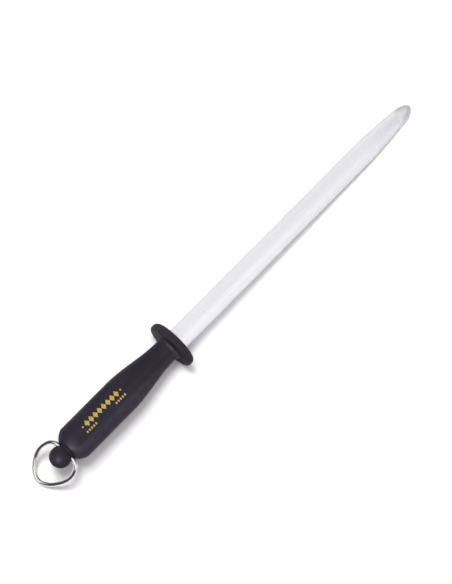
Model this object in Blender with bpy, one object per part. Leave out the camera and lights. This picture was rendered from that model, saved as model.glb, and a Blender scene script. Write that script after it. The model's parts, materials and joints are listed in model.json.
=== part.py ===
"""Oval knife sharpening steel: grooved rod, oval guard, moulded grip, swivel knob and hanging ring.

The steel is drawn straight, in millimetres, with X along its axis: the guard's front face is
at X = 0, the rod points to +X, the grip and the knob lie at -X, and Z is up out of the grip's
broad side. An empty then lays the whole steel on the ground, resting on the guard's rim and on
the rod's tip, with the hanging ring dropped until it touches the ground as well.
"""

from math import asin, atan2, copysign, cos, pi, radians, sin, sqrt

import bmesh
import bpy

MM = 0.001
GAP = 0.3  # clearance between neighbouring pieces

# Rod
ROD_LENGTH = 300.0
ROD_HALF_WIDTH = 9.9
ROD_HALF_THICKNESS = 4.5
TAPER_LENGTH = 64.0
TAPER_POWER = 1.7
NOSE_LENGTH = 18.4
NOSE_HALF_WIDTH = 7.3
NOSE_HALF_THICKNESS = 3.4
NOSE_CLOSING_SHARE = 0.95  # how far round its quarter turn the nose goes before its flat end
ROOT_DEPTH = 5.2

# Tang and its threaded tail, both one piece with the rod
TANG_HALF_WIDTH = 6.5
TANG_HALF_THICKNESS = 3.0
TANG_END_HALF_WIDTH = 4.2
TANG_END_HALF_THICKNESS = 2.8
TANG_END_X = -112.0
TANG_SQUARENESS = 6.0
TANG_SLOT_MARGIN = 0.5
STUD_RADIUS = 2.5
STUD_END_X = -147.2
STUD_CHAMFER = 0.4

# Guard
GUARD_HALF_WIDTH = 23.1
GUARD_HALF_HEIGHT = 18.0
GUARD_THICKNESS = 8.2
GUARD_REAR_EDGE = 2.6
GUARD_FRONT_EDGE = 3.9
GUARD_RECESS_DEPTH = 1.0

# Grip
GRIP_HALF_WIDTH = 16.25
GRIP_HALF_THICKNESS = 13.0
GRIP_SQUARENESS = 2.25
WAIST_HALF_WIDTH = 10.75
WAIST_HALF_THICKNESS = 9.0
WAIST_X = -13.0
SWELL_LENGTH = 55.0
FLARE_RADIUS = 4.0
FLARE_LENGTH = 3.6
BUTT_X = -133.8
BUTT_RADIUS = 9.3
SHOULDER_LENGTH = 9.2
SHOULDER_POWER = 1.4

# Hollows in the grip's butt, each one a round step
STUD_BORE_RADIUS = 2.9
STUD_BORE_X = -116.0
NUT_POCKET_RADIUS = 5.6
NUT_POCKET_X = -124.2
KNOB_SOCKET_RADIUS = 7.5
KNOB_SOCKET_DEPTH = 3.0

# M5 hardware
WASHER_RADIUS = 5.2
WASHER_THICKNESS = 0.8
NUT_ACROSS_FLATS = 8.0
CLAMP_NUT_THICKNESS = 4.0
LOCK_NUT_THICKNESS = 2.8
THREAD_HOLE_RADIUS = STUD_RADIUS + GAP

# Swivel knob
BALL_X = -142.0
BALL_RADIUS = 9.6
KNOB_NECK_RADIUS = 7.1
BUSH_RADIUS = 3.4
KNOB_BORE_RADIUS = BUSH_RADIUS + GAP
COUNTERBORE_RADIUS = 5.1
COUNTERBORE_X = -141.9
CAP_SEAT_X = -147.9

# Hanging ring
HINGE_X = -136.2
WIRE_RADIUS = 2.0
RING_REACH = 37.2  # hinge axis to the wire's middle at the ring's far end
# Half of the ring's middle line, from a wire end to the far end: (away from hinge, sideways)
RING_HALF_PATH = [
    (0.0, 4.4),
    (0.0, 6.6),
    (0.0, 8.8),
    (0.9, 12.2),
    (3.6, 15.2),
    (7.8, 17.1),
    (13.0, 18.0),
    (18.7, 17.3),
    (27.2, 13.3),
    (34.2, 7.2),
]

# Facets
BODY_SEGMENTS = 48
GUARD_SEGMENTS = 40  # wide enough facets for the guard to lie still on
KNOB_SEGMENTS = 36
HARDWARE_SEGMENTS = 24
EDGE_STEPS = 4
SWELL_STEPS = 10
SHOULDER_STEPS = 7
TAPER_STEPS = 5
NOSE_STEPS = 6
BALL_STEPS = 10
WIRE_RESOLUTION = 4
SHARP_EDGE_ANGLE = radians(35.0)

BLACK_PLASTIC = ("black_plastic", (0.026, 0.021, 0.034), 0.48, 0.0)
HARDENED_STEEL = ("hardened_steel", (0.72, 0.72, 0.75), 0.32, 1.0)
ZINC_STEEL = ("zinc_steel", (0.6, 0.6, 0.58), 0.4, 1.0)
POLISHED_CHROME = ("polished_chrome", (0.8, 0.8, 0.82), 0.08, 1.0)
BRASS = ("brass", (0.65, 0.5, 0.22), 0.35, 1.0)
NYLON = ("nylon", (0.75, 0.74, 0.68), 0.5, 0.0)


# ---------------------------------------------------------------- outlines across the axis


def oval(half_width, half_height, power=2.0):
    """Outline of an oval; a power over 2 squares its corners."""

    def reach(value):
        return copysign(abs(value) ** (2.0 / power), value)

    return lambda angle: (half_width * reach(cos(angle)), half_height * reach(sin(angle)))


def circle(radius):
    return oval(radius, radius)


def hexagon(across_flats):
    """Outline of a nut, turned so that its corners fall on the section's own points."""
    corner_turn = pi / HARDWARE_SEGMENTS

    def outline(angle):
        from_flat = (angle - corner_turn) % (pi / 3.0) - pi / 6.0
        radius = across_flats / 2.0 / cos(from_flat)
        return radius * cos(angle), radius * sin(angle)

    return outline


# ---------------------------------------------------------------- building solids


def make_material(name, colour, roughness, metallic):
    material = bpy.data.materials.get(name) or bpy.data.materials.new(name)
    material.use_nodes = True
    shader = material.node_tree.nodes["Principled BSDF"]
    shader.inputs["Base Color"].default_value = (*colour, 1.0)
    shader.inputs["Roughness"].default_value = roughness
    shader.inputs["Metallic"].default_value = metallic
    return material


def add_object(name, data, finish, parent, origin_x):
    obj = bpy.data.objects.new(name, data)
    bpy.context.scene.collection.objects.link(obj)
    data.materials.append(make_material(*finish))
    obj.parent = parent
    obj.location = (origin_x * MM, 0.0, 0.0)
    return obj


def extrude_sections(bm, sections, segments, hollow, origin_x):
    """Carry a loop of points through sections (x, outline), by one edge extrusion for each.

    A solid piece is closed by a face at each end. A hollow one runs down its outside and back
    up its bore, so its last loop meets its first.
    """
    slot = bm.verts.layers.int.new("slot")

    def place(loop, section):
        x, outline = section
        for vert in loop:
            angle = (vert[slot] + 0.5) * 2.0 * pi / segments
            y, z = outline(angle)
            vert.co = ((x - origin_x) * MM, y * MM, z * MM)

    loop = bmesh.ops.create_circle(bm, segments=segments, radius=1.0)["verts"]
    for index, vert in enumerate(loop):
        vert[slot] = index
    edges = list(bm.edges)
    place(loop, sections[0])
    if not hollow:
        bmesh.ops.contextual_create(bm, geom=edges)
    for section in sections[1:] + (sections[:1] if hollow else []):
        made = bmesh.ops.extrude_edge_only(bm, edges=edges)["geom"]
        loop = {item for item in made if isinstance(item, bmesh.types.BMVert)}
        edges = [item for item in made if isinstance(item, bmesh.types.BMEdge)]
        edges = [edge for edge in edges if loop.issuperset(edge.verts)]
        place(loop, section)
    if hollow:
        bmesh.ops.remove_doubles(bm, verts=bm.verts, dist=0.0001 * MM)
    else:
        bmesh.ops.contextual_create(bm, geom=edges)


def make_solid(name, sections, finish, parent, segments, hollow=False, origin_x=0.0):
    mesh = bpy.data.meshes.new(name)
    bm = bmesh.new()
    extrude_sections(bm, sections, segments, hollow, origin_x)
    bmesh.ops.recalc_face_normals(bm, faces=bm.faces)
    bm.to_mesh(mesh)
    bm.free()
    mesh.shade_smooth()
    mesh.set_sharp_from_angle(angle=SHARP_EDGE_ANGLE)
    return add_object(name, mesh, finish, parent, origin_x)


def make_sleeve(name, front_x, back_x, outline, bore_radius, finish, parent):
    """A washer, nut or bush: one outline with a round bore."""
    bore = circle(bore_radius)
    sections = [(front_x, outline), (back_x, outline), (back_x, bore), (front_x, bore)]
    segments = HARDWARE_SEGMENTS
    return make_solid(name, sections, finish, parent, segments, hollow=True)


# ---------------------------------------------------------------- rod


def taper_sections():
    """Blade sections from the start of the taper to the round nose."""
    start_x = ROD_LENGTH - TAPER_LENGTH
    nose_x = ROD_LENGTH - NOSE_LENGTH
    sections = []
    for step in range(TAPER_STEPS + 1):
        share = step / TAPER_STEPS
        drop = share**TAPER_POWER
        half_width = ROD_HALF_WIDTH + (NOSE_HALF_WIDTH - ROD_HALF_WIDTH) * drop
        half_thickness = ROD_HALF_THICKNESS + (NOSE_HALF_THICKNESS - ROD_HALF_THICKNESS) * drop
        sections.append((start_x + share * (nose_x - start_x), half_width, half_thickness))
    for step in range(1, NOSE_STEPS + 1):
        turn = NOSE_CLOSING_SHARE * step / NOSE_STEPS * pi / 2.0
        x = nose_x + NOSE_LENGTH * sin(turn)
        sections.append((x, NOSE_HALF_WIDTH * cos(turn), NOSE_HALF_THICKNESS * cos(turn)))
    return sections


def make_rod(parent):
    stud = circle(STUD_RADIUS)
    tang = oval(TANG_HALF_WIDTH, TANG_HALF_THICKNESS, TANG_SQUARENESS)
    tang_end = oval(TANG_END_HALF_WIDTH, TANG_END_HALF_THICKNESS, TANG_SQUARENESS)
    blade = oval(ROD_HALF_WIDTH, ROD_HALF_THICKNESS)
    sections = [
        (STUD_END_X, circle(STUD_RADIUS - STUD_CHAMFER)),
        (STUD_END_X + STUD_CHAMFER, stud),
        (TANG_END_X, stud),
        (TANG_END_X, tang_end),
        (-ROOT_DEPTH, tang),
        (-ROOT_DEPTH, blade),
    ]
    for x, half_width, half_thickness in taper_sections():
        sections.append((x, oval(half_width, half_thickness)))
    make_solid("sharpening_rod", sections, HARDENED_STEEL, parent, BODY_SEGMENTS)


# ---------------------------------------------------------------- guard


def make_guard(parent):
    rear_x = -GUARD_THICKNESS
    floor_x = rear_x + GUARD_RECESS_DEPTH
    pocket = oval(ROD_HALF_WIDTH + GAP, ROD_HALF_THICKNESS + GAP)
    tang_hole = oval(TANG_HALF_WIDTH + GAP, TANG_HALF_THICKNESS + GAP, TANG_SQUARENESS)
    flare = FLARE_RADIUS - sqrt(FLARE_RADIUS**2 - FLARE_LENGTH**2) + GAP
    recess = oval(WAIST_HALF_WIDTH + flare, WAIST_HALF_THICKNESS + flare, GRIP_SQUARENESS)
    sections = [
        (0.0, pocket),
        (-ROOT_DEPTH - GAP, pocket),
        (-ROOT_DEPTH - GAP, tang_hole),
        (floor_x, tang_hole),
        (floor_x, recess),
        (rear_x, recess),
    ]
    corners = [
        (rear_x + GUARD_REAR_EDGE, GUARD_REAR_EDGE, -pi / 2.0),
        (-GUARD_FRONT_EDGE, GUARD_FRONT_EDGE, 0.0),
    ]
    for centre_x, radius, start in corners:
        for step in range(EDGE_STEPS + 1):
            turn = start + step / EDGE_STEPS * pi / 2.0
            inset = radius * (1.0 - cos(turn))
            outline = oval(GUARD_HALF_WIDTH - inset, GUARD_HALF_HEIGHT - inset)
            sections.append((centre_x + radius * sin(turn), outline))
    make_solid("hand_guard", sections, BLACK_PLASTIC, parent, GUARD_SEGMENTS, hollow=True)


# ---------------------------------------------------------------- grip and what clamps it


def grip_outline(x):
    """Grip outline from the waist behind the guard to the full swell."""
    share = min(max((WAIST_X - x) / SWELL_LENGTH, 0.0), 1.0)
    swell = share * share * (3.0 - 2.0 * share)
    half_width = WAIST_HALF_WIDTH + (GRIP_HALF_WIDTH - WAIST_HALF_WIDTH) * swell
    half_thickness = WAIST_HALF_THICKNESS + (GRIP_HALF_THICKNESS - WAIST_HALF_THICKNESS) * swell
    return half_width, half_thickness


def grip_outside():
    """The grip's outside: flare at the guard, waist, swell, and shoulder down to the butt."""
    front_x = -GUARD_THICKNESS + GUARD_RECESS_DEPTH - GAP
    flare_end_x = -GUARD_THICKNESS - FLARE_LENGTH
    sections = []
    for step in range(EDGE_STEPS + 1):
        along = FLARE_LENGTH * (1.0 - step / EDGE_STEPS)
        flare = FLARE_RADIUS - sqrt(FLARE_RADIUS**2 - along**2)
        half_width = WAIST_HALF_WIDTH + flare
        half_thickness = WAIST_HALF_THICKNESS + flare
        outline = oval(half_width, half_thickness, GRIP_SQUARENESS)
        if step == 0:
            sections.append((front_x, outline))
        sections.append((flare_end_x + along, outline))
    for step in range(SWELL_STEPS + 1):
        x = WAIST_X - step / SWELL_STEPS * SWELL_LENGTH
        sections.append((x, oval(*grip_outline(x), GRIP_SQUARENESS)))
    for step in range(SHOULDER_STEPS + 1):
        turn = step / SHOULDER_STEPS * pi / 2.0
        x = BUTT_X + SHOULDER_LENGTH * (1.0 - sin(turn) ** (2.0 / SHOULDER_POWER))
        rise = cos(turn) ** (2.0 / SHOULDER_POWER) if step < SHOULDER_STEPS else 0.0
        half_width = BUTT_RADIUS + (GRIP_HALF_WIDTH - BUTT_RADIUS) * rise
        half_thickness = BUTT_RADIUS + (GRIP_HALF_THICKNESS - BUTT_RADIUS) * rise
        power = 2.0 + (GRIP_SQUARENESS - 2.0) * rise
        sections.append((x, oval(half_width, half_thickness, power)))
    return sections


def make_grip(parent):
    socket_x = BUTT_X + KNOB_SOCKET_DEPTH
    slot_half_width = TANG_HALF_WIDTH + TANG_SLOT_MARGIN
    slot_half_height = TANG_HALF_THICKNESS + TANG_SLOT_MARGIN
    slot = oval(slot_half_width, slot_half_height, TANG_SQUARENESS)
    sections = grip_outside()
    front_x = sections[0][0]
    sections += [
        (BUTT_X, circle(KNOB_SOCKET_RADIUS)),
        (socket_x, circle(KNOB_SOCKET_RADIUS)),
        (socket_x, circle(NUT_POCKET_RADIUS)),
        (NUT_POCKET_X, circle(NUT_POCKET_RADIUS)),
        (NUT_POCKET_X, circle(STUD_BORE_RADIUS)),
        (STUD_BORE_X, circle(STUD_BORE_RADIUS)),
        (STUD_BORE_X, slot),
        (front_x, slot),
    ]
    make_solid("handle_grip", sections, BLACK_PLASTIC, parent, BODY_SEGMENTS, hollow=True)


def make_clamp(parent):
    """Washer and nut that pull the tang back and hold guard and grip together."""
    washer_x = NUT_POCKET_X - GAP
    washer_end_x = washer_x - WASHER_THICKNESS
    washer = circle(WASHER_RADIUS)
    bore = THREAD_HOLE_RADIUS
    make_sleeve("clamp_washer", washer_x, washer_end_x, washer, bore, ZINC_STEEL, parent)
    nut_x = washer_end_x - GAP
    nut_end_x = nut_x - CLAMP_NUT_THICKNESS
    nut = hexagon(NUT_ACROSS_FLATS)
    make_sleeve("clamp_nut", nut_x, nut_end_x, nut, bore, ZINC_STEEL, parent)
    return nut_end_x


# ---------------------------------------------------------------- swivel knob


def make_swivel(parent, clamp_end_x):
    """Bush that the knob turns on, the thrust washer under it and the lock nut over it."""
    bush_x = clamp_end_x - GAP
    bush_end_x = COUNTERBORE_X - GAP
    bush = circle(BUSH_RADIUS)
    bore = THREAD_HOLE_RADIUS
    make_sleeve("swivel_bush", bush_x, bush_end_x, bush, bore, BRASS, parent)

    thrust_x = BUTT_X + KNOB_SOCKET_DEPTH - GAP
    thrust_end_x = thrust_x - WASHER_THICKNESS
    thrust = circle(KNOB_NECK_RADIUS)
    bore = KNOB_BORE_RADIUS
    make_sleeve("thrust_washer", thrust_x, thrust_end_x, thrust, bore, NYLON, parent)

    washer_x = bush_end_x - GAP
    washer_end_x = washer_x - WASHER_THICKNESS
    washer = circle(COUNTERBORE_RADIUS - GAP)
    bore = THREAD_HOLE_RADIUS
    make_sleeve("lock_washer", washer_x, washer_end_x, washer, bore, ZINC_STEEL, parent)
    nut_x = washer_end_x - GAP
    nut_end_x = nut_x - LOCK_NUT_THICKNESS
    nut = hexagon(NUT_ACROSS_FLATS)
    make_sleeve("lock_nut", nut_x, nut_end_x, nut, bore, ZINC_STEEL, parent)
    return thrust_end_x


def ball_sections(start_radius, end_radius, steps, turns_forward):
    """Sections of the ball between two radii, over its widest place when turns_forward."""
    start = asin(start_radius / BALL_RADIUS)
    start = start if turns_forward else pi - start
    end = pi - asin(end_radius / BALL_RADIUS)
    sections = []
    for step in range(steps + 1):
        turn = start + (end - start) * step / steps
        sections.append((BALL_X + BALL_RADIUS * cos(turn), circle(BALL_RADIUS * sin(turn))))
    return sections


def make_ring_hole_cutter(side, parent):
    """Drill for one blind hole that takes a wire end, from one side of the knob."""
    radius = WIRE_RADIUS + GAP
    depth_y = RING_HALF_PATH[0][1] - GAP
    length = BALL_RADIUS + GAP
    mesh = bpy.data.meshes.new("ring_hole_cutter")
    bm = bmesh.new()
    bmesh.ops.create_cone(
        bm,
        cap_ends=True,
        segments=HARDWARE_SEGMENTS,
        radius1=radius * MM,
        radius2=radius * MM,
        depth=length * MM,
    )
    bm.to_mesh(mesh)
    bm.free()
    cutter = bpy.data.objects.new("ring_hole_cutter", mesh)
    bpy.context.scene.collection.objects.link(cutter)
    cutter.parent = parent
    cutter.location = (HINGE_X * MM, side * (depth_y + length / 2.0) * MM, 0.0)
    cutter.rotation_euler = (pi / 2.0, 0.0, 0.0)
    cutter.hide_render = True
    cutter.display_type = "WIRE"
    return cutter


def make_knob(parent, thrust_end_x):
    base_x = thrust_end_x - GAP
    sections = [(base_x, circle(KNOB_NECK_RADIUS))]
    sections += ball_sections(KNOB_NECK_RADIUS, COUNTERBORE_RADIUS, BALL_STEPS, True)
    sections += [
        (COUNTERBORE_X, circle(COUNTERBORE_RADIUS)),
        (COUNTERBORE_X, circle(KNOB_BORE_RADIUS)),
        (base_x, circle(KNOB_BORE_RADIUS)),
    ]
    segments = KNOB_SEGMENTS
    knob = make_solid("swivel_knob", sections, BLACK_PLASTIC, parent, segments, True, BALL_X)
    for side in (-1, 1):
        drill = knob.modifiers.new("ring_hole", "BOOLEAN")
        drill.operation = "DIFFERENCE"
        drill.object = make_ring_hole_cutter(side, parent)

    cap_radius = COUNTERBORE_RADIUS - GAP
    cap = [(CAP_SEAT_X, circle(cap_radius))]
    cap += ball_sections(cap_radius, GAP, EDGE_STEPS, False)
    make_solid("knob_cap", cap, BLACK_PLASTIC, parent, HARDWARE_SEGMENTS, origin_x=BALL_X)


# ---------------------------------------------------------------- hanging ring


def make_ring(parent, droop):
    """Open ring of round wire whose two ends enter the knob; its origin is on the hinge."""
    half = RING_HALF_PATH
    path = [(away, -side) for away, side in half] + [(RING_REACH, 0.0)] + half[::-1]
    curve = bpy.data.curves.new("hanging_ring", "CURVE")
    curve.dimensions = "3D"
    curve.resolution_u = WIRE_RESOLUTION
    curve.bevel_depth = WIRE_RADIUS * MM
    curve.bevel_resolution = WIRE_RESOLUTION
    curve.use_fill_caps = True
    spline = curve.splines.new("BEZIER")
    spline.bezier_points.add(len(path) - 1)
    for point, (away, side) in zip(spline.bezier_points, path):
        point.co = (-away * MM, side * MM, 0.0)
        point.handle_left_type = "AUTO"
        point.handle_right_type = "AUTO"
    ring = add_object("hanging_ring", curve, POLISHED_CHROME, parent, HINGE_X)
    ring.rotation_euler = (0.0, -droop, 0.0)


# ---------------------------------------------------------------- resting on the ground


def resting_tilt():
    """Angle of the steel's axis when the guard's front edge and the rod's tip touch ground."""
    rise = GUARD_HALF_HEIGHT
    slope = min((rise - half) / (x + GUARD_FRONT_EDGE) for x, _, half in taper_sections())
    return atan2(slope, 1.0)


def make_rest_frame(tilt):
    """Empty that tips the steel on to the ground, over the middle of its ground box."""
    support_height = GUARD_HALF_HEIGHT * cos(tilt) - GUARD_FRONT_EDGE * sin(tilt)
    hinge_height = support_height - HINGE_X * sin(tilt)
    ring_slant = asin((hinge_height - WIRE_RADIUS) / RING_REACH)
    ring_end_x = HINGE_X * cos(tilt) - RING_REACH * cos(ring_slant) - WIRE_RADIUS
    tip_x = ROD_LENGTH * cos(tilt)
    frame = bpy.data.objects.new("rest_frame", None)
    bpy.context.scene.collection.objects.link(frame)
    frame.location = (-(ring_end_x + tip_x) / 2.0 * MM, 0.0, support_height * MM)
    frame.rotation_euler = (0.0, tilt, 0.0)
    return frame, ring_slant


def main():
    for obj in list(bpy.data.objects):
        bpy.data.objects.remove(obj, do_unlink=True)
    tilt = resting_tilt()
    frame, ring_slant = make_rest_frame(tilt)
    make_rod(frame)
    make_guard(frame)
    make_grip(frame)
    clamp_end_x = make_clamp(frame)
    thrust_end_x = make_swivel(frame, clamp_end_x)
    make_knob(frame, thrust_end_x)
    make_ring(frame, ring_slant + tilt)


main()
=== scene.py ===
"""Looks of the oval knife sharpening steel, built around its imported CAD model.

Lengths in the pieces' own constants are millimetres in the steel's own frame: X runs along the
axis from the guard's front face to the rod's tip, Y across the grip's broad side, Z out of it.
"""

import json
from math import asin, ceil, copysign, cos, exp, pi, radians, sin, sqrt

import bpy
import numpy as np
from mathutils import Matrix, Vector

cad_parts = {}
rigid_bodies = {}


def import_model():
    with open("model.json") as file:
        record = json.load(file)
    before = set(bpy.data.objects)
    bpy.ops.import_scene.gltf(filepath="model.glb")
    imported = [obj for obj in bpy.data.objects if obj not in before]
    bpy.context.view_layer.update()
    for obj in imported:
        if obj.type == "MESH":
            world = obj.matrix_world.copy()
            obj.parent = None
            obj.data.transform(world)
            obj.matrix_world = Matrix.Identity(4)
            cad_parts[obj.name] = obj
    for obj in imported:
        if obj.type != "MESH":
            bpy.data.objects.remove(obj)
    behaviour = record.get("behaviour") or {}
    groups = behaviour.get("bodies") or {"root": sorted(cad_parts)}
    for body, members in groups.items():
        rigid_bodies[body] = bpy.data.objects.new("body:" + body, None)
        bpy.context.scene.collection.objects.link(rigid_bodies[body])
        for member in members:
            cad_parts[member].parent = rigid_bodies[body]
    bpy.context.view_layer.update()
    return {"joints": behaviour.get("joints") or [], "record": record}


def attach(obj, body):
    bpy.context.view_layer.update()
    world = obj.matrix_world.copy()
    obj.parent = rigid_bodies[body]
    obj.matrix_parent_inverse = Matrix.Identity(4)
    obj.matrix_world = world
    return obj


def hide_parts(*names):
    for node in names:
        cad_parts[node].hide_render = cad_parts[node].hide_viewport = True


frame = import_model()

MM = 0.001

# ---------------------------------------------------------------- the frame of the steel

JOINTS = {joint["name"]: joint for joint in frame["joints"]}
MOUNTS = {mount["name"]: mount for mount in frame["record"]["mounts"]}
AXIS = Vector(JOINTS["knob_swivel"]["axis"]).normalized()
ACROSS = Vector((0.0, 1.0, 0.0))
BALL = Vector(JOINTS["knob_swivel"]["pos_m"])
HINGE = Vector(JOINTS["ring_tilt"]["pos_m"])
GUARD_FACE = Vector(MOUNTS["guard_front_face"]["pos_m"])
ORIGIN = BALL + AXIS * (GUARD_FACE - BALL).dot(AXIS)


def frame_matrix(x_axis, origin):
    """Placement of a frame whose X is given and whose Y runs straight across the steel."""
    matrix = Matrix((x_axis, ACROSS, x_axis.cross(ACROSS))).transposed().to_4x4()
    matrix.translation = origin
    return matrix


STEEL = frame_matrix(AXIS, ORIGIN)
BALL_X = (BALL - ORIGIN).dot(AXIS) / MM
HINGE_X = (HINGE - ORIGIN).dot(AXIS) / MM

# ---------------------------------------------------------------- sizes

GAP = 0.3  # clearance between neighbouring pieces
SEAM = 0.06  # the hairline left round the grip where it enters the guard

ROD_LENGTH = 300.0
ROD_HALF_WIDTH = 9.9
ROD_HALF_THICKNESS = 4.5
TAPER_LENGTH = 64.0
TAPER_POWER = 1.7
NOSE_LENGTH = 18.4
NOSE_HALF_WIDTH = 7.3
NOSE_HALF_THICKNESS = 3.4
ROOT_DEPTH = 5.2
GROOVES = 84
GROOVE_DEPTH = 0.11
POINTS_PER_GROOVE = 6
GROOVE_END_X = 286.4
GROOVE_RUN_OUT = 0.8
NOSE_CLOSING_SHARE = 0.974  # how far round its quarter turn the nose goes before its flat end

TANG_HALF_WIDTH = 6.5
TANG_HALF_THICKNESS = 3.0
TANG_END_HALF_WIDTH = 4.2
TANG_END_HALF_THICKNESS = 2.8
TANG_END_X = -112.0
TANG_SQUARENESS = 6.0
STUD_RADIUS = 2.5
STUD_END_X = -147.2
THREAD_START_X = -118.0
THREAD_PITCH = 0.8
THREAD_DEPTH = 0.42
THREAD_STEEPNESS = 1.15  # over 1 leaves a flat at the thread's root
TAIL_GAP = 0.02  # between the tang's end and the threaded tail, which are separate meshes

GUARD_HALF_WIDTH = 23.1
GUARD_HALF_HEIGHT = 18.0
GUARD_THICKNESS = 8.2
GUARD_REAR_EDGE = 2.6
GUARD_FRONT_EDGE = 3.9
GUARD_RECESS_DEPTH = 1.0

GRIP_HALF_WIDTH = 16.25
GRIP_HALF_THICKNESS = 13.0
GRIP_SQUARENESS = 2.25
WAIST_HALF_WIDTH = 10.75
WAIST_HALF_THICKNESS = 9.0
WAIST_X = -13.0
SWELL_LENGTH = 55.0
FLARE_RADIUS = 4.0
FLARE_LENGTH = 3.6
BUTT_X = -133.8
BUTT_RADIUS = 9.3
SHOULDER_LENGTH = 9.2
SHOULDER_POWER = 1.4
STUD_BORE_RADIUS = 2.9
STUD_BORE_X = -116.0
NUT_POCKET_RADIUS = 5.6
NUT_POCKET_X = -124.2
KNOB_SOCKET_RADIUS = 7.5
KNOB_SOCKET_DEPTH = 3.0

WASHER_RADIUS = 5.2
WASHER_THICKNESS = 0.8
NUT_ACROSS_FLATS = 8.0
CLAMP_NUT_THICKNESS = 4.0
LOCK_NUT_THICKNESS = 2.8
NUT_TURN = pi / 24.0  # angle from Y to a nut's first corner, as in the CAD model
NUT_FACE_SHARE = 0.95  # radius of a nut's flat face over half its width
NUT_THREAD_DEPTH = 0.2
NUT_MOUTH = 0.35  # how much wider the nut's bore opens at its ends
SLEEVE_CHAMFER = 0.15
THREAD_HOLE_RADIUS = STUD_RADIUS + GAP

BALL_RADIUS = 9.6
KNOB_NECK_RADIUS = 7.1
BUSH_RADIUS = 3.4
KNOB_BORE_RADIUS = BUSH_RADIUS + GAP
COUNTERBORE_RADIUS = 5.1
COUNTERBORE_X = -141.9
COUNTERBORE_LIP = 0.12
CAP_SEAT_X = -147.9
CAP_CHAMFER = 0.3
CAP_POLE_RADIUS = 0.05

WIRE_RADIUS = 2.0
RING_REACH = 37.2  # hinge axis to the wire's middle at the ring's far end
# Half of the ring's middle line, from a wire end to the far end: (away from hinge, sideways)
RING_HALF_PATH = [
    (0.0, 4.4),
    (0.0, 6.6),
    (0.0, 8.8),
    (0.9, 12.2),
    (3.6, 15.2),
    (7.8, 17.1),
    (13.0, 18.0),
    (18.7, 17.3),
    (27.2, 13.3),
    (34.2, 7.2),
]

PARTING_LINE_HEIGHT = 0.07
PARTING_LINE_WIDTH = 0.35

# Gold ornament on the grip
PRINT_START_X = -113.0
PRINT_END_X = -67.4
DOT_RADIUS = 0.8
LOZENGES = 8
LOZENGE_LENGTH = 4.8
LOZENGE_HEIGHT = 6.2
LOZENGE_ROW_Y = 3.7
BAR_ROW_Y = -2.0
BAR_LENGTH = 1.5
BAR_HEIGHT = 1.9
BAR_PITCH = 2.6
BARS = 5
PRINT_PROUD = 0.05
PRINT_SUNK = 0.03

# Points round each turned or moulded piece
STUD_SEGMENTS = 36
GUARD_SEGMENTS = 144
GRIP_SEGMENTS = 240
SLEEVE_SEGMENTS = 72
NUT_SEGMENTS = 144
KNOB_SEGMENTS = 96
RING_HOLE_SEGMENTS = 48

# ---------------------------------------------------------------- camera and light

CAMERA_TARGET = Vector((-0.0028, -0.0008, 0.010))
CAMERA_AZIMUTH = 190.0
CAMERA_ELEVATION = 76.81
CAMERA_ROLL = 34.44
CAMERA_DISTANCE = 3.0
CAMERA_LENS = 215.6

FLOOR_HALF_SIZE = 4.0
ROOM_TOP = 0.66  # sine of the elevation up to which the room stays dim
CEILING_EDGE = 0.87  # sine of the elevation from which the ceiling is fully bright


def aim(obj, target, roll=0.0):
    """Point an object's -Z at a target, turned by roll about its view."""
    back = (obj.location - target).normalized()
    right = Vector((0.0, 0.0, 1.0)).cross(back).normalized()
    up = back.cross(right)
    turned_right = right * cos(roll) + up * sin(roll)
    turned_up = up * cos(roll) - right * sin(roll)
    turn = Matrix((turned_right, turned_up, back)).transposed()
    obj.rotation_euler = turn.to_euler()


def direction(azimuth, elevation):
    """Unit vector towards an azimuth, counted from +X to +Y, and an elevation, in degrees."""
    a, e = radians(azimuth), radians(elevation)
    return Vector((cos(e) * cos(a), cos(e) * sin(a), sin(e)))


def make_camera():
    data = bpy.data.cameras.new("camera")
    data.lens = CAMERA_LENS
    data.sensor_width = 36.0
    data.clip_end = 50.0
    camera = bpy.data.objects.new("camera", data)
    bpy.context.scene.collection.objects.link(camera)
    camera.location = CAMERA_TARGET + direction(CAMERA_AZIMUTH, CAMERA_ELEVATION) * CAMERA_DISTANCE
    aim(camera, CAMERA_TARGET, radians(CAMERA_ROLL))
    bpy.context.scene.camera = camera


def make_softbox(name, azimuth, elevation, distance, size, power, colour, reflector=True):
    """A rectangular lamp; a reflector is only mirrored, and any other only throws light."""
    data = bpy.data.lights.new(name, "AREA")
    data.shape = "RECTANGLE"
    data.size, data.size_y = size
    data.energy = power
    data.color = colour
    light = bpy.data.objects.new(name, data)
    bpy.context.scene.collection.objects.link(light)
    light.location = direction(azimuth, elevation) * distance
    light.visible_glossy = reflector
    light.visible_diffuse = not reflector
    aim(light, Vector((0.0, 0.0, 0.0)))
    return light


def make_world():
    """A pale studio ceiling over a dim room, so that polished metal has both to mirror."""
    world = bpy.data.worlds.new("studio")
    bpy.context.scene.world = world
    world.use_nodes = True
    tree = world.node_tree
    tree.nodes.clear()
    where = tree.nodes.new("ShaderNodeTexCoord")
    split = tree.nodes.new("ShaderNodeSeparateXYZ")
    ramp = tree.nodes.new("ShaderNodeValToRGB")
    background = tree.nodes.new("ShaderNodeBackground")
    output = tree.nodes.new("ShaderNodeOutputWorld")
    tree.links.new(where.outputs["Generated"], split.inputs[0])
    tree.links.new(split.outputs["Z"], ramp.inputs["Fac"])
    tree.links.new(ramp.outputs["Color"], background.inputs["Color"])
    tree.links.new(background.outputs[0], output.inputs["Surface"])
    ramp.color_ramp.interpolation = "EASE"
    room, ceiling = ramp.color_ramp.elements
    room.position = ROOM_TOP
    room.color = (0.10, 0.09, 0.115, 1.0)
    ceiling.position = CEILING_EDGE
    ceiling.color = (0.99, 0.985, 1.0, 1.0)
    background.inputs["Strength"].default_value = 1.0


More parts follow.
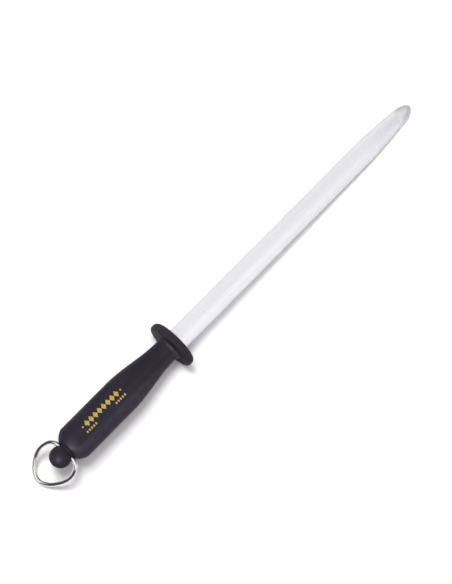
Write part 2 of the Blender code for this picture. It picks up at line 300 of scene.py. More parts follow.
def make_light():
    """Light the steel; the lamp that glows on the butt is given back."""
    make_world()
    white = (1.0, 0.99, 0.97)
    cream = (1.0, 0.98, 0.95)
    rose = (1.0, 0.98, 0.98)
    violet = (0.82, 0.74, 1.0)
    lilac = (0.95, 0.85, 1.0)
    make_softbox("key", 97.0, 69.0, 2.6, (1.0, 1.0), 54.0, white, reflector=False)
    make_softbox("fill", 190.0, 80.0, 3.0, (3.0, 3.0), 20.0, white, reflector=False)
    butt_lamp = make_softbox("butt_lamp", 190.0, 40.0, 1.5, (0.3, 0.15), 95.0, violet)
    make_softbox("butt_card", 200.0, 40.0, 1.5, (1.2, 0.6), 2.8, cream)
    make_softbox("side_lamp", 272.0, 30.0, 1.6, (1.3, 0.12), 1.2, lilac)
    make_softbox("side_card", 272.0, 28.0, 1.6, (1.6, 0.8), 3.5, rose)
    return butt_lamp


def light_only(lamp, materials):
    """Let a small, strong lamp glow on the pieces of these materials and on nothing else."""
    lit = bpy.data.collections.new("lit_by_" + lamp.name)
    for piece in bpy.context.scene.objects:
        if piece.active_material in materials:
            lit.objects.link(piece)
    lamp.light_linking.receiver_collection = lit


def make_floor():
    half = FLOOR_HALF_SIZE
    corners = [(-half, -half, 0.0), (half, -half, 0.0), (half, half, 0.0), (-half, half, 0.0)]
    mesh = bpy.data.meshes.new("floor")
    mesh.from_pydata(corners, [], [(0, 1, 2, 3)])
    ground = bpy.data.objects.new("floor", mesh)
    bpy.context.scene.collection.objects.link(ground)
    mesh.materials.append(paper_white())


# ---------------------------------------------------------------- materials


class Shader:
    """A Principled material and the few node shapes that the finishes are made of."""

    def __init__(self, name):
        self.material = bpy.data.materials.new(name)
        self.material.use_nodes = True
        self.tree = self.material.node_tree
        self.principled = self.tree.nodes["Principled BSDF"]
        self.place = self.node("ShaderNodeTexCoord").outputs["Object"]

    def node(self, kind, inputs=None, **settings):
        made = self.tree.nodes.new(kind)
        for key, value in settings.items():
            setattr(made, key, value)
        for key, value in (inputs or {}).items():
            self.put(made.inputs[key], value)
        return made

    def put(self, socket, value):
        if isinstance(value, bpy.types.NodeSocket):
            self.tree.links.new(value, socket)
        else:
            socket.default_value = value

    def stretched(self, scale):
        """Position stretched by a scale for each axis."""
        return self.node("ShaderNodeMapping", {"Vector": self.place, "Scale": scale}).outputs[0]

    def noise(self, scale, detail=3.0, roughness=0.55, where=None):
        inputs = {
            "Vector": where or self.place,
            "Scale": scale,
            "Detail": detail,
            "Roughness": roughness,
        }
        return self.node("ShaderNodeTexNoise", inputs).outputs["Fac"]

    def spread(self, value, low, high, start=0.3, end=0.7, smooth=False):
        """A value between start and end, mapped to low and high."""
        kind = "SMOOTHSTEP" if smooth else "LINEAR"
        inputs = {"Value": value, 1: start, 2: end, 3: low, 4: high}
        return self.node("ShaderNodeMapRange", inputs, interpolation_type=kind).outputs[0]

    def mix(self, share, first, second):
        made = self.node("ShaderNodeMix", data_type="RGBA")
        self.put(made.inputs[0], share)
        self.put(made.inputs[6], first)
        self.put(made.inputs[7], second)
        return made.outputs[2]

    def multiply(self, first, second):
        made = self.node("ShaderNodeMath", operation="MULTIPLY")
        self.put(made.inputs[0], first)
        self.put(made.inputs[1], second)
        return made.outputs[0]

    def bump(self, height, depth, strength=1.0, under=None):
        inputs = {"Height": height, "Distance": depth, "Strength": strength}
        if under is not None:
            inputs["Normal"] = under
        return self.node("ShaderNodeBump", inputs).outputs[0]

    def finish(self, **inputs):
        for key, value in inputs.items():
            self.put(self.principled.inputs[key.replace("_", " ")], value)
        return self.material


def paper_white():
    s = Shader("paper_white")
    tone = s.mix(s.noise(3.0), (0.90, 0.90, 0.905, 1.0), (0.92, 0.92, 0.925, 1.0))
    return s.finish(Base_Color=tone, Roughness=0.9, Specular_IOR_Level=0.1)


def black_plastic(name, grain=1.0, painted_sheen=0.0, painted_glow=1.0):
    """Injection-moulded black: a fine spark-eroded grain, faint flow marks, rubbed edges.

    A piece can also get a painted sheen down its -Y side, a paler mottled band in place of a low
    side light's reflection, and a base tone raised as painted light in place of lamp light it does
    not get.
    """
    s = Shader(name)
    flow = s.noise(1.0, detail=2.0, where=s.stretched((25.0, 90.0, 90.0)))
    # Painted light: a scale over 1 brightens the base tone in place of lamp light that the piece
    # does not get.
    dark = (0.0170 * painted_glow, 0.0145 * painted_glow, 0.0210 * painted_glow, 1.0)
    light = (0.0230 * painted_glow, 0.0195 * painted_glow, 0.0285 * painted_glow, 1.0)
    tone = s.mix(s.spread(flow, 0.0, 1.0), dark, light)
    speck = s.spread(s.noise(2600.0, detail=1.0), 0.0, 0.35, 0.66, 0.8)
    tone = s.mix(speck, tone, (0.035, 0.03, 0.045, 1.0))
    if painted_sheen > 0.0:
        # Painted sheen: a paler, mottled band along the -Y side stands in for the reflection of a
        # low side light.
        side = s.node("ShaderNodeSeparateXYZ", {0: s.place}).outputs["Y"]
        sheen_band = s.spread(side, 0.0, painted_sheen, -0.0042, -0.0085, smooth=True)
        patches = s.spread(s.noise(140.0, detail=5.0, roughness=0.7), 0.35, 1.0)
        tone = s.mix(s.multiply(sheen_band, patches), tone, (0.045, 0.038, 0.057, 1.0))
    edge = s.node("ShaderNodeNewGeometry").outputs["Pointiness"]
    rubbed = s.multiply(s.spread(edge, 0.0, 1.0, 0.53, 0.62), s.spread(s.noise(160.0), 0.2, 0.9))
    tone = s.mix(s.multiply(rubbed, 0.6), tone, (0.05, 0.045, 0.06, 1.0))
    rough = s.spread(s.noise(45.0, detail=4.0), 0.48, 0.58)
    fine = s.bump(s.noise(2300.0, detail=2.0), 0.00005 * grain, 0.8)
    waves = s.bump(s.noise(110.0, detail=1.0), 0.00012, 0.35, under=fine)
    return s.finish(Base_Color=tone, Roughness=rough, Normal=waves, Specular_IOR_Level=0.07)


def grooved_steel():
    """Hardened rod: drawn lines along the axis, and a nose ground smooth across them."""
    s = Shader("grooved_steel")
    along = s.node("ShaderNodeSeparateXYZ", {0: s.place}).outputs["X"]
    blotch = s.spread(s.noise(260.0, detail=4.0), -0.0016, 0.0016)
    edge = s.node("ShaderNodeMath", {0: along, 1: blotch}, operation="ADD").outputs[0]
    ground = s.spread(edge, 0.0, 1.0, (GROOVE_END_X - 2.4) * MM, (GROOVE_END_X + 1.6) * MM)
    drawn = s.noise(1.0, detail=5.0, roughness=0.65, where=s.stretched((9.0, 1500.0, 1500.0)))
    cloud = s.noise(28.0, detail=3.0)
    bright = s.mix(s.spread(drawn, 0.0, 1.0), (0.85, 0.86, 0.91, 1.0), (0.95, 0.955, 0.99, 1.0))
    bright = s.mix(s.spread(cloud, 0.0, 0.25), bright, (0.86, 0.85, 0.88, 1.0))
    nose = s.noise(1.0, detail=4.0, roughness=0.6, where=s.stretched((2400.0, 60.0, 60.0)))
    nose_tone = s.mix(s.spread(nose, 0.0, 1.0), (0.72, 0.71, 0.77, 1.0), (0.85, 0.845, 0.90, 1.0))
    tone = s.mix(ground, bright, nose_tone)
    rough = s.mix(ground, s.spread(drawn, 0.26, 0.38), s.spread(nose, 0.36, 0.48))
    lines = s.bump(s.mix(ground, drawn, nose), 0.00003, 0.5)
    return s.finish(Base_Color=tone, Metallic=0.6, Roughness=rough, Normal=lines)


def polished_chrome():
    s = Shader("polished_chrome")
    wear = s.noise(900.0, detail=3.0)
    tone = s.mix(s.noise(120.0), (0.72, 0.705, 0.68, 1.0), (0.78, 0.765, 0.74, 1.0))
    rough = s.spread(wear, 0.02, 0.05)
    ripple = s.bump(s.noise(260.0, detail=1.0), 0.00004, 0.25)
    return s.finish(Base_Color=tone, Metallic=1.0, Roughness=rough, Normal=ripple)


def gold_foil():
    """Hot-stamped gold: slightly uneven, rubbed thin in places."""
    s = Shader("gold_foil")
    worn = s.spread(s.noise(1500.0, detail=3.0), 0.0, 1.0, 0.4, 0.75)
    tone = s.mix(worn, (0.66, 0.47, 0.10, 1.0), (0.42, 0.29, 0.07, 1.0))
    rough = s.spread(s.noise(700.0), 0.3, 0.5)
    crinkle = s.bump(s.noise(3200.0, detail=2.0), 0.00002, 0.5)
    return s.finish(Base_Color=tone, Metallic=0.75, Roughness=rough, Normal=crinkle)


def plated_metal(name, dark, light, roughness):
    """Turned and plated small parts: tool marks round the axis and a blotchy plating."""
    s = Shader(name)
    marks = s.noise(1.0, detail=3.0, where=s.stretched((7000.0, 200.0, 200.0)))
    tone = s.mix(s.spread(s.noise(400.0), 0.0, 1.0), dark, light)
    rough = s.spread(marks, roughness - 0.06, roughness + 0.08)
    turned = s.bump(marks, 0.00002, 0.5)
    return s.finish(Base_Color=tone, Metallic=1.0, Roughness=rough, Normal=turned)


def natural_nylon():
    s = Shader("natural_nylon")
    tone = s.mix(s.noise(300.0), (0.68, 0.67, 0.60, 1.0), (0.78, 0.77, 0.70, 1.0))
    grain = s.bump(s.noise(2500.0), 0.00003, 0.5)
    return s.finish(Base_Color=tone, Roughness=0.5, Normal=grain)


# ---------------------------------------------------------------- outlines and meshes


def oval(half_width, half_height, power=2.0):
    """Outline of an oval; a power over 2 squares its corners."""

    def reach(value):
        return copysign(abs(value) ** (2.0 / power), value)

    return lambda angle: (half_width * reach(cos(angle)), half_height * reach(sin(angle)))


def circle(radius):
    return oval(radius, radius)


def section(x, outline, count):
    """Points of one cross-section of the steel."""
    return [(x, *outline((index + 0.5) * 2.0 * pi / count)) for index in range(count)]


def add_piece(name, data, material, matrix):
    piece = bpy.data.objects.new(name, data)
    bpy.context.scene.collection.objects.link(piece)
    data.materials.append(material)
    piece.matrix_world = matrix
    return piece


def loft(name, rings, material, hollow=False, sharp=35.0):
    """Skin a list of rings of points. A hollow piece's last ring joins its first."""
    count = len(rings[0])
    verts = np.array(rings, float).reshape(-1, 3) * MM
    faces = []
    pairs = len(rings) if hollow else len(rings) - 1
    for row in range(pairs):
        here, there = row * count, (row + 1) % len(rings) * count
        for index in range(count):
            after = (index + 1) % count
            faces.append((here + index, here + after, there + after, there + index))
    if not hollow:
        faces.append(tuple(reversed(range(count))))
        faces.append(tuple(range(pairs * count, (pairs + 1) * count)))
    mesh = bpy.data.meshes.new(name)
    mesh.from_pydata(verts.tolist(), [], faces)
    if signed_volume(mesh) < 0.0:
        mesh.flip_normals()
    mesh.shade_smooth()
    mesh.set_sharp_from_angle(angle=radians(sharp))
    return add_piece(name, mesh, material, STEEL)


def signed_volume(mesh):
    """Volume of a closed mesh, negative when its faces point inwards."""
    total = 0.0
    for face in mesh.polygons:
        corners = [mesh.vertices[index].co for index in face.vertices]
        for second, third in zip(corners[1:], corners[2:]):
            total += corners[0].dot(second.cross(third))
    return total / 6.0


def steps(start, end, count, first=0):
    """Evenly spaced values from start to end, from the given step on."""
    return [start + (end - start) * step / count for step in range(first, count + 1)]


def smooth_step(share):
    """Ease from 0 to 1, level at both ends."""
    share = min(max(share, 0.0), 1.0)
    return share * share * (3.0 - 2.0 * share)


# ---------------------------------------------------------------- rod


def blade_size(x):
    """Half width and half thickness of the blade at a place along it."""
    nose_x = ROD_LENGTH - NOSE_LENGTH
    drop = max((x - ROD_LENGTH + TAPER_LENGTH) / (TAPER_LENGTH - NOSE_LENGTH), 0.0)
    drop = min(drop, 1.0) ** TAPER_POWER
    half_width = ROD_HALF_WIDTH + (NOSE_HALF_WIDTH - ROD_HALF_WIDTH) * drop
    half_thickness = ROD_HALF_THICKNESS + (NOSE_HALF_THICKNESS - ROD_HALF_THICKNESS) * drop
    along_nose = min(max((x - nose_x) / NOSE_LENGTH, 0.0), 1.0)
    shrink = sqrt(1.0 - along_nose**2)
    return half_width * shrink, half_thickness * shrink


def even_angles(half_width, half_height, count):
    """Angles of an oval that lie evenly along its outline."""
    fine = np.linspace(0.0, 2.0 * pi, 20 * count + 1)
    outline = np.stack([half_width * np.cos(fine), half_height * np.sin(fine)])
    run = np.concatenate([[0.0], np.cumsum(np.hypot(*np.diff(outline)))])
    return np.interp((np.arange(count) + 0.5) / count * run[-1], run, fine)


def grooved_section(x, angles):
    """Blade section whose outline is cut by one groove for each ridge of the file."""
    half_width, half_thickness = blade_size(x)
    depth = GROOVE_DEPTH * smooth_step((GROOVE_END_X - x) / GROOVE_RUN_OUT)
    points = []
    for index, angle in enumerate(angles):
        cut = depth * sin(pi * index / POINTS_PER_GROOVE) ** 2
        normal = Vector((cos(angle) * half_thickness, sin(angle) * half_width)).normalized()
        y = half_width * cos(angle) - cut * normal.x
        z = half_thickness * sin(angle) - cut * normal.y
        points.append((x, y, z))
    return points


def make_rod(steel):
    count = GROOVES * POINTS_PER_GROOVE
    angles = even_angles(ROD_HALF_WIDTH, ROD_HALF_THICKNESS, count)
    nose_x = ROD_LENGTH - NOSE_LENGTH
    places = steps(-ROOT_DEPTH, ROD_LENGTH - TAPER_LENGTH, 12)
    places += steps(ROD_LENGTH - TAPER_LENGTH, GROOVE_END_X - GROOVE_RUN_OUT, 14, first=1)
    places += steps(GROOVE_END_X - GROOVE_RUN_OUT, GROOVE_END_X, 4, first=1)
    places += steps(GROOVE_END_X, nose_x, 2, first=1)
    closing = NOSE_CLOSING_SHARE * pi / 2.0
    places += [nose_x + NOSE_LENGTH * sin(turn) for turn in steps(0.0, closing, 16, first=1)]
    tang = [
        (TANG_END_X, oval(TANG_END_HALF_WIDTH, TANG_END_HALF_THICKNESS, TANG_SQUARENESS)),
        (-ROOT_DEPTH, oval(TANG_HALF_WIDTH, TANG_HALF_THICKNESS, TANG_SQUARENESS)),
    ]
    rings = [section(TANG_END_X, circle(STUD_RADIUS), count)]
    rings += [section(x, outline, count) for x, outline in tang]
    rings += [grooved_section(x, angles) for x in places]
    blade = loft("rod_blade", rings, steel, sharp=80.0)

    stud = circle(STUD_RADIUS)
    threads = threaded_rings(THREAD_START_X, STUD_END_X, STUD_RADIUS, THREAD_DEPTH, STUD_SEGMENTS)
    shank = (TANG_END_X - TAIL_GAP, THREAD_START_X)
    plain = [section(x, stud, STUD_SEGMENTS) for x in shank]
    tip = section(STUD_END_X, circle(STUD_RADIUS - THREAD_DEPTH), STUD_SEGMENTS)
    tail = loft("rod_tail", plain + threads[1:] + [tip], steel, sharp=70.0)
    for piece in (blade, tail):
        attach(piece, "handle")
        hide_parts("sharpening_rod")


def threaded_rings(start_x, end_x, radius, depth, count, per_pitch=8):
    """Rings of a screw thread whose crests lie at a radius and whose roots a depth inside.

    A negative depth cuts the thread outwards, for a nut.
    """
    total = ceil(abs(end_x - start_x) / THREAD_PITCH * per_pitch)
    rings = []
    for x in steps(start_x, end_x, total):
        fade = min(abs(x - start_x), abs(x - end_x)) / THREAD_PITCH
        points = []
        for index in range(count):
            angle = (index + 0.5) * 2.0 * pi / count
            phase = (x / THREAD_PITCH - angle / (2.0 * pi)) % 1.0
            groove = 1.0 - abs(2.0 * phase - 1.0)
            r = radius - depth * min(groove * THREAD_STEEPNESS, 1.0) * min(fade, 1.0)
            points.append((x, r * cos(angle), r * sin(angle)))
        rings.append(points)
    return rings


# ---------------------------------------------------------------- guard


def rounded_edge(centre_x, radius, start, count):
    """Places along a quarter round: (x, how far the outline is drawn in)."""
    turns = steps(start, start + pi / 2.0, count)
    return [(centre_x + radius * sin(turn), radius * (1.0 - cos(turn))) for turn in turns]


def make_guard(plastic):
    rear_x = -GUARD_THICKNESS
    floor_x = rear_x + GUARD_RECESS_DEPTH
    flare = FLARE_RADIUS - sqrt(FLARE_RADIUS**2 - FLARE_LENGTH**2) + SEAM
    pocket = (ROD_HALF_WIDTH + GAP, ROD_HALF_THICKNESS + GAP)
    tang_hole = oval(TANG_HALF_WIDTH + GAP, TANG_HALF_THICKNESS + GAP, TANG_SQUARENESS)
    recess = oval(WAIST_HALF_WIDTH + flare, WAIST_HALF_THICKNESS + flare, GRIP_SQUARENESS)
    places = [
        (-GAP, oval(*pocket)),
        (-ROOT_DEPTH - GAP, oval(*pocket)),
        (-ROOT_DEPTH - GAP, tang_hole),
        (floor_x, tang_hole),
        (floor_x, recess),
        (rear_x, recess),
    ]
    edge = rounded_edge(rear_x + GUARD_REAR_EDGE, GUARD_REAR_EDGE, -pi / 2.0, 12)
    parting_x = (rear_x + GUARD_REAR_EDGE - GUARD_FRONT_EDGE) / 2.0
    for offset in steps(-2.0, 2.0, 8):
        proud = PARTING_LINE_HEIGHT * exp(-(offset**2))
        edge.append((parting_x + offset * PARTING_LINE_WIDTH, -proud))
    edge += rounded_edge(-GUARD_FRONT_EDGE, GUARD_FRONT_EDGE, 0.0, 16)
    for x, inset in edge:
        places.append((x, oval(GUARD_HALF_WIDTH - inset, GUARD_HALF_HEIGHT - inset)))
    places.append((0.0, oval(pocket[0] + GAP, pocket[1] + GAP)))
    rings = [section(x, outline, GUARD_SEGMENTS) for x, outline in places]
    guard = loft("guard_moulding", rings, plastic, hollow=True)
    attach(guard, "handle")
    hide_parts("hand_guard")


# ---------------------------------------------------------------- grip


def grip_size(x):
    """Half width, half thickness and squareness of the grip's outline at a place along it."""
    swell = smooth_step((WAIST_X - x) / SWELL_LENGTH)
    half_width = WAIST_HALF_WIDTH + (GRIP_HALF_WIDTH - WAIST_HALF_WIDTH) * swell
    half_thickness = WAIST_HALF_THICKNESS + (GRIP_HALF_THICKNESS - WAIST_HALF_THICKNESS) * swell
    flare_start = x + GUARD_THICKNESS + FLARE_LENGTH
    if flare_start > 0.0:
        along = min(flare_start, FLARE_LENGTH)
        flare = FLARE_RADIUS - sqrt(FLARE_RADIUS**2 - along**2)
        half_width += flare
        half_thickness += flare
    down = min(max(1.0 - (x - BUTT_X) / SHOULDER_LENGTH, 0.0), 1.0)
    rise = (1.0 - down**SHOULDER_POWER) ** (1.0 / SHOULDER_POWER)
    half_width = BUTT_RADIUS + (half_width - BUTT_RADIUS) * rise
    half_thickness = BUTT_RADIUS + (half_thickness - BUTT_RADIUS) * rise
    return half_width, half_thickness, 2.0 + (GRIP_SQUARENESS - 2.0) * rise


def grip_outline(x):
    """Grip outline with the fine parting line that the mould leaves down both sides."""
    plain = oval(*grip_size(x))

    def outline(angle):
        y, z = plain(angle)
        line = PARTING_LINE_HEIGHT * exp(-((z / PARTING_LINE_WIDTH) ** 2))
        return y + copysign(line, y), z

    return outline


def make_grip(plastic):
    front_x = -GUARD_THICKNESS + GUARD_RECESS_DEPTH - GAP
    flare_end_x = -GUARD_THICKNESS - FLARE_LENGTH
    shoulder_x = BUTT_X + SHOULDER_LENGTH
    socket_x = BUTT_X + KNOB_SOCKET_DEPTH
    outside = [front_x] + steps(-GUARD_THICKNESS, flare_end_x, 8)
    outside += steps(WAIST_X, WAIST_X - SWELL_LENGTH, 24)
    outside += steps(WAIST_X - SWELL_LENGTH, shoulder_x, 8, first=1)
    for turn in steps(0.0, pi / 2.0, 20, first=1):
        outside.append(BUTT_X + SHOULDER_LENGTH * (1.0 - sin(turn) ** (2.0 / SHOULDER_POWER)))
    margin = GAP + 0.2
    slot = oval(TANG_HALF_WIDTH + margin, TANG_HALF_THICKNESS + margin, TANG_SQUARENESS)
    inside = [
        (BUTT_X, circle(KNOB_SOCKET_RADIUS + GAP)),
        (BUTT_X + GAP, circle(KNOB_SOCKET_RADIUS)),
        (socket_x, circle(KNOB_SOCKET_RADIUS)),
        (socket_x, circle(NUT_POCKET_RADIUS)),
        (NUT_POCKET_X, circle(NUT_POCKET_RADIUS)),
        (NUT_POCKET_X, circle(STUD_BORE_RADIUS)),
        (STUD_BORE_X, circle(STUD_BORE_RADIUS)),
        (STUD_BORE_X, slot),
        (front_x, slot),
    ]
    rings = [section(x, grip_outline(x), GRIP_SEGMENTS) for x in outside]
    rings += [section(x, outline, GRIP_SEGMENTS) for x, outline in inside]
    grip = loft("grip_moulding", rings, plastic, hollow=True)
    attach(grip, "handle")
    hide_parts("handle_grip")


# ---------------------------------------------------------------- gold ornament on the grip


def grip_height(x, y):
    """Height of the grip's broad side over a point."""
    half_width, half_thickness, power = grip_size(x)
    return half_thickness * (1.0 - (abs(y) / half_width) ** power) ** (1.0 / power)


def lozenge(centre_x, centre_y, half_length, half_height, power=1.0, count=24):
    """Outline of a lozenge; a power of 2 makes it round, and a high one a bar."""
    shape = oval(half_length, half_height, power)
    points = [shape(2.0 * pi * index / count) for index in range(count)]
    return [(centre_x + along, centre_y + across) for along, across in points]


def ornament_motifs():
    """A row of lozenges between two dots, over two short rows of bars."""
    motifs = []
    for x in (PRINT_START_X, PRINT_END_X):
        motifs.append(lozenge(x, LOZENGE_ROW_Y, DOT_RADIUS, DOT_RADIUS, power=2.0))
    pitch = (PRINT_END_X - PRINT_START_X) / (LOZENGES + 1)
    for index in range(LOZENGES):
        x = PRINT_START_X + pitch * (index + 1)
        motifs.append(lozenge(x, LOZENGE_ROW_Y, LOZENGE_LENGTH / 2.0, LOZENGE_HEIGHT / 2.0))
    for index in range(BARS):
        for x in (PRINT_START_X + BAR_PITCH * index, PRINT_END_X - BAR_PITCH * index):
            motifs.append(lozenge(x, BAR_ROW_Y, BAR_LENGTH / 2.0, BAR_HEIGHT / 2.0, power=6.0))
    return motifs


def make_print(foil):
    """Thin plates of foil that follow the grip's surface."""
    verts, faces = [], []
    for motif in ornament_motifs():
        count = len(motif)
        centre_x = sum(x for x, _ in motif) / count
        centre_y = sum(y for _, y in motif) / count
        for lift in (PRINT_PROUD, -PRINT_SUNK):
            start = len(verts)
            for share in (1.0, 0.5):
                for x, y in motif:
                    at_x = centre_x + (x - centre_x) * share
                    at_y = centre_y + (y - centre_y) * share
                    verts.append((at_x, at_y, grip_height(at_x, at_y) + lift))
            verts.append((centre_x, centre_y, grip_height(centre_x, centre_y) + lift))
            for index in range(count):
                after = (index + 1) % count
                outer = (start + index, start + after)
                inner = (start + count + index, start + count + after)
                quad = (*outer, inner[1], inner[0])
                cap = (*inner, start + 2 * count)
                faces += [quad, cap] if lift > 0.0 else [quad[::-1], cap[::-1]]
        top = len(verts) - 2 * (2 * count + 1)
        below = top + 2 * count + 1
        for index in range(count):
            after = (index + 1) % count
            faces.append((top + after, top + index, below + index, below + after))
    mesh = bpy.data.meshes.new("grip_print")
    mesh.from_pydata([tuple(value * MM for value in vert) for vert in verts], [], faces)
    mesh.shade_smooth()
    mesh.set_sharp_from_angle(angle=radians(35.0))
    ornament = add_piece("grip_print", mesh, foil, STEEL)
    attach(ornament, "handle")


# ---------------------------------------------------------------- hardware


def sleeve(node, body, material, front_x, back_x, outer, bore):
    """A washer or bush with broken edges."""
    chamfer = SLEEVE_CHAMFER
    places = [
        (front_x, outer - chamfer),
        (front_x - chamfer, outer),
        (back_x + chamfer, outer),
        (back_x, outer - chamfer),
        (back_x, bore + chamfer),
        (back_x + chamfer, bore),
        (front_x - chamfer, bore),
        (front_x, bore + chamfer),
    ]
    rings = [section(x, circle(radius), SLEEVE_SEGMENTS) for x, radius in places]
    piece = loft(node + "_turned", rings, material, hollow=True)
    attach(piece, body)
    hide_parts(node)


def hexagon(across_flats, corner_radius):
    """A nut's outline with its corners turned off at a radius."""

    def outline(angle):
        from_flat = (angle - NUT_TURN) % (pi / 3.0) - pi / 6.0
        radius = min(across_flats / 2.0 / cos(from_flat), corner_radius)
        return radius * cos(angle), radius * sin(angle)

    return outline


def nut(node, material, front_x, thickness):
    """A hexagon nut with chamfered corners and a threaded bore."""
    corner = NUT_ACROSS_FLATS / 2.0 / cos(pi / 6.0)
    face_radius = NUT_ACROSS_FLATS / 2.0 * NUT_FACE_SHARE
    chamfer = (corner - face_radius) * 0.5
    back_x = front_x - thickness
    rings = []
    for share in steps(0.0, 1.0, 5):
        radius = face_radius + (corner - face_radius) * share
        outline = hexagon(NUT_ACROSS_FLATS, radius)
        rings.append(section(front_x - chamfer * share, outline, NUT_SEGMENTS))
    both_x = front_x + back_x
    rings += [[(both_x - x, y, z) for x, y, z in ring] for ring in reversed(rings)]
    bore = threaded_rings(back_x, front_x, THREAD_HOLE_RADIUS, -NUT_THREAD_DEPTH, NUT_SEGMENTS)
    mouth = circle(THREAD_HOLE_RADIUS + NUT_MOUTH)
    rings += [section(back_x, mouth, NUT_SEGMENTS)]
    rings += bore[3:-3]
    rings += [section(front_x, mouth, NUT_SEGMENTS)]
    piece = loft(node + "_threaded", rings, material, hollow=True, sharp=28.0)
    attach(piece, "handle")
    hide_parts(node)


def make_hardware(zinc, brass, nylon):
    washer_x = NUT_POCKET_X - GAP
    nut_x = washer_x - WASHER_THICKNESS - GAP
    bush_x = nut_x - CLAMP_NUT_THICKNESS - GAP
    bush_end_x = COUNTERBORE_X - GAP
    lock_x = bush_end_x - GAP
    lock_nut_x = lock_x - WASHER_THICKNESS - GAP
    thrust_x = BUTT_X + KNOB_SOCKET_DEPTH - GAP
    sleeve(
        "clamp_washer", "handle", zinc,
        washer_x, washer_x - WASHER_THICKNESS, WASHER_RADIUS, THREAD_HOLE_RADIUS,
    )
    nut("clamp_nut", zinc, nut_x, CLAMP_NUT_THICKNESS)
    sleeve(
        "swivel_bush", "handle", brass,
        bush_x, bush_end_x, BUSH_RADIUS, THREAD_HOLE_RADIUS,
    )
    sleeve(
        "thrust_washer", "knob", nylon,
        thrust_x, thrust_x - WASHER_THICKNESS, KNOB_NECK_RADIUS, KNOB_BORE_RADIUS,
    )
    sleeve(
        "lock_washer", "handle", zinc,
        lock_x, lock_x - WASHER_THICKNESS, COUNTERBORE_RADIUS - GAP, THREAD_HOLE_RADIUS,
    )
    nut("lock_nut", zinc, lock_nut_x, LOCK_NUT_THICKNESS)


# ---------------------------------------------------------------- knob


def ball_places(start_radius, end_radius, count, from_neck):
    """Places along the ball's round, (x, radius), that end near the pole away from the grip.

    They start on the neck's side, or else on the pole's side.
    """
    start = asin(start_radius / BALL_RADIUS)
    start = start if from_neck else pi - start
    end = pi - asin(end_radius / BALL_RADIUS)
    turns = steps(start, end, count)
    return [(BALL_X + BALL_RADIUS * cos(turn), BALL_RADIUS * sin(turn)) for turn in turns]


def drill_ring_holes(knob):
    """Blind holes for the wire's ends, cut from both sides of the knob."""
    floor_y = RING_HALF_PATH[0][1] - GAP
    radius = WIRE_RADIUS + GAP
    cutters = []
    for side in (-1.0, 1.0):
        rings = []
        for y in (side * floor_y, side * (floor_y + BALL_RADIUS)):
            ring = []
            for index in range(RING_HOLE_SEGMENTS):
                angle = side * index * 2.0 * pi / RING_HOLE_SEGMENTS
                ring.append((HINGE_X + radius * cos(angle), y, radius * sin(angle)))
            rings.append(ring)
        cutter = loft("ring_hole_cutter", rings, knob.data.materials[0])
        drill = knob.modifiers.new("ring_hole", "BOOLEAN")
        drill.operation = "DIFFERENCE"
        drill.object = cutter
        cutters.append(cutter)
    graph = bpy.context.evaluated_depsgraph_get()
    drilled = bpy.data.meshes.new_from_object(knob.evaluated_get(graph))
    knob.modifiers.clear()
    knob.data = drilled
    drilled.shade_smooth()
    drilled.set_sharp_from_angle(angle=radians(35.0))
    for cutter in cutters:
        bpy.data.objects.remove(cutter, do_unlink=True)


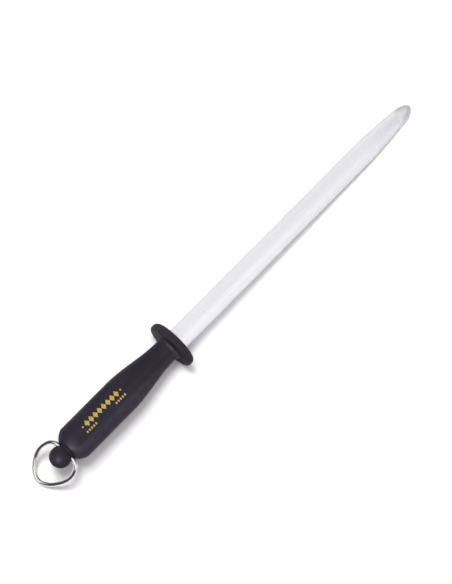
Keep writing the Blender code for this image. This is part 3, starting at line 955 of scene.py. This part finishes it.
def make_knob(plastic):
    base_x = BUTT_X + KNOB_SOCKET_DEPTH - GAP - WASHER_THICKNESS - GAP
    places = [(base_x, KNOB_NECK_RADIUS)]
    places += ball_places(KNOB_NECK_RADIUS, COUNTERBORE_RADIUS + COUNTERBORE_LIP, 40, from_neck=True)
    places += [
        (places[-1][0] + COUNTERBORE_LIP, COUNTERBORE_RADIUS),
        (COUNTERBORE_X, COUNTERBORE_RADIUS),
        (COUNTERBORE_X, KNOB_BORE_RADIUS),
        (base_x, KNOB_BORE_RADIUS),
    ]
    rings = [section(x, circle(radius), KNOB_SEGMENTS) for x, radius in places]
    knob = loft("knob_moulding", rings, plastic, hollow=True)
    drill_ring_holes(knob)
    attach(knob, "knob")
    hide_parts("swivel_knob")

    cap_radius = COUNTERBORE_RADIUS - GAP / 2.0
    places = [(CAP_SEAT_X, cap_radius - CAP_CHAMFER), (CAP_SEAT_X - CAP_CHAMFER, cap_radius)]
    places += ball_places(cap_radius, CAP_POLE_RADIUS, 16, from_neck=False)
    rings = [section(x, circle(radius), KNOB_SEGMENTS) for x, radius in places]
    cap = loft("cap_moulding", rings, plastic)
    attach(cap, "knob")
    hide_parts("knob_cap")


# ---------------------------------------------------------------- hanging ring


def make_ring(chrome):
    half = RING_HALF_PATH
    path = [(away, -side) for away, side in half] + [(RING_REACH, 0.0)] + half[::-1]
    curve = bpy.data.curves.new("ring_wire", "CURVE")
    curve.dimensions = "3D"
    curve.resolution_u = 10
    curve.bevel_depth = WIRE_RADIUS * MM
    curve.bevel_resolution = 10
    curve.use_fill_caps = True
    spline = curve.splines.new("BEZIER")
    spline.bezier_points.add(len(path) - 1)
    for point, (away, side) in zip(spline.bezier_points, path):
        point.co = (-away * MM, side * MM, 0.0)
        point.handle_left_type = "AUTO"
        point.handle_right_type = "AUTO"
    slant = asin((HINGE.z - WIRE_RADIUS * MM) / (RING_REACH * MM))
    towards_hinge = Vector((cos(slant), 0.0, sin(slant)))
    ring = add_piece("ring_wire", curve, chrome, frame_matrix(towards_hinge, HINGE))
    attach(ring, "ring")
    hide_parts("hanging_ring")


# ---------------------------------------------------------------- the scene


def main():
    make_camera()
    butt_lamp = make_light()
    make_floor()
    bpy.context.scene.view_settings.view_transform = "Standard"
    # The grip's plastic carries the painted sheen band down its -Y side.
    grip_plastic = black_plastic("grip_black", painted_sheen=0.9)
    make_rod(grooved_steel())
    # The guard's copy of the plastic is painted paler, painted light in place of the butt lamp's
    # glow, which is kept off the guard.
    make_guard(black_plastic("guard_black", painted_glow=1.35))
    make_grip(grip_plastic)
    make_print(gold_foil())
    zinc = plated_metal("zinc_plate", (0.55, 0.55, 0.53, 1.0), (0.68, 0.68, 0.64, 1.0), 0.38)
    brass = plated_metal("turned_brass", (0.55, 0.40, 0.16, 1.0), (0.72, 0.56, 0.26, 1.0), 0.30)
    make_hardware(zinc, brass, natural_nylon())
    knob_plastic = black_plastic("knob_black", grain=0.6)
    make_knob(knob_plastic)
    make_ring(polished_chrome())
    light_only(butt_lamp, (grip_plastic, knob_plastic))


main()
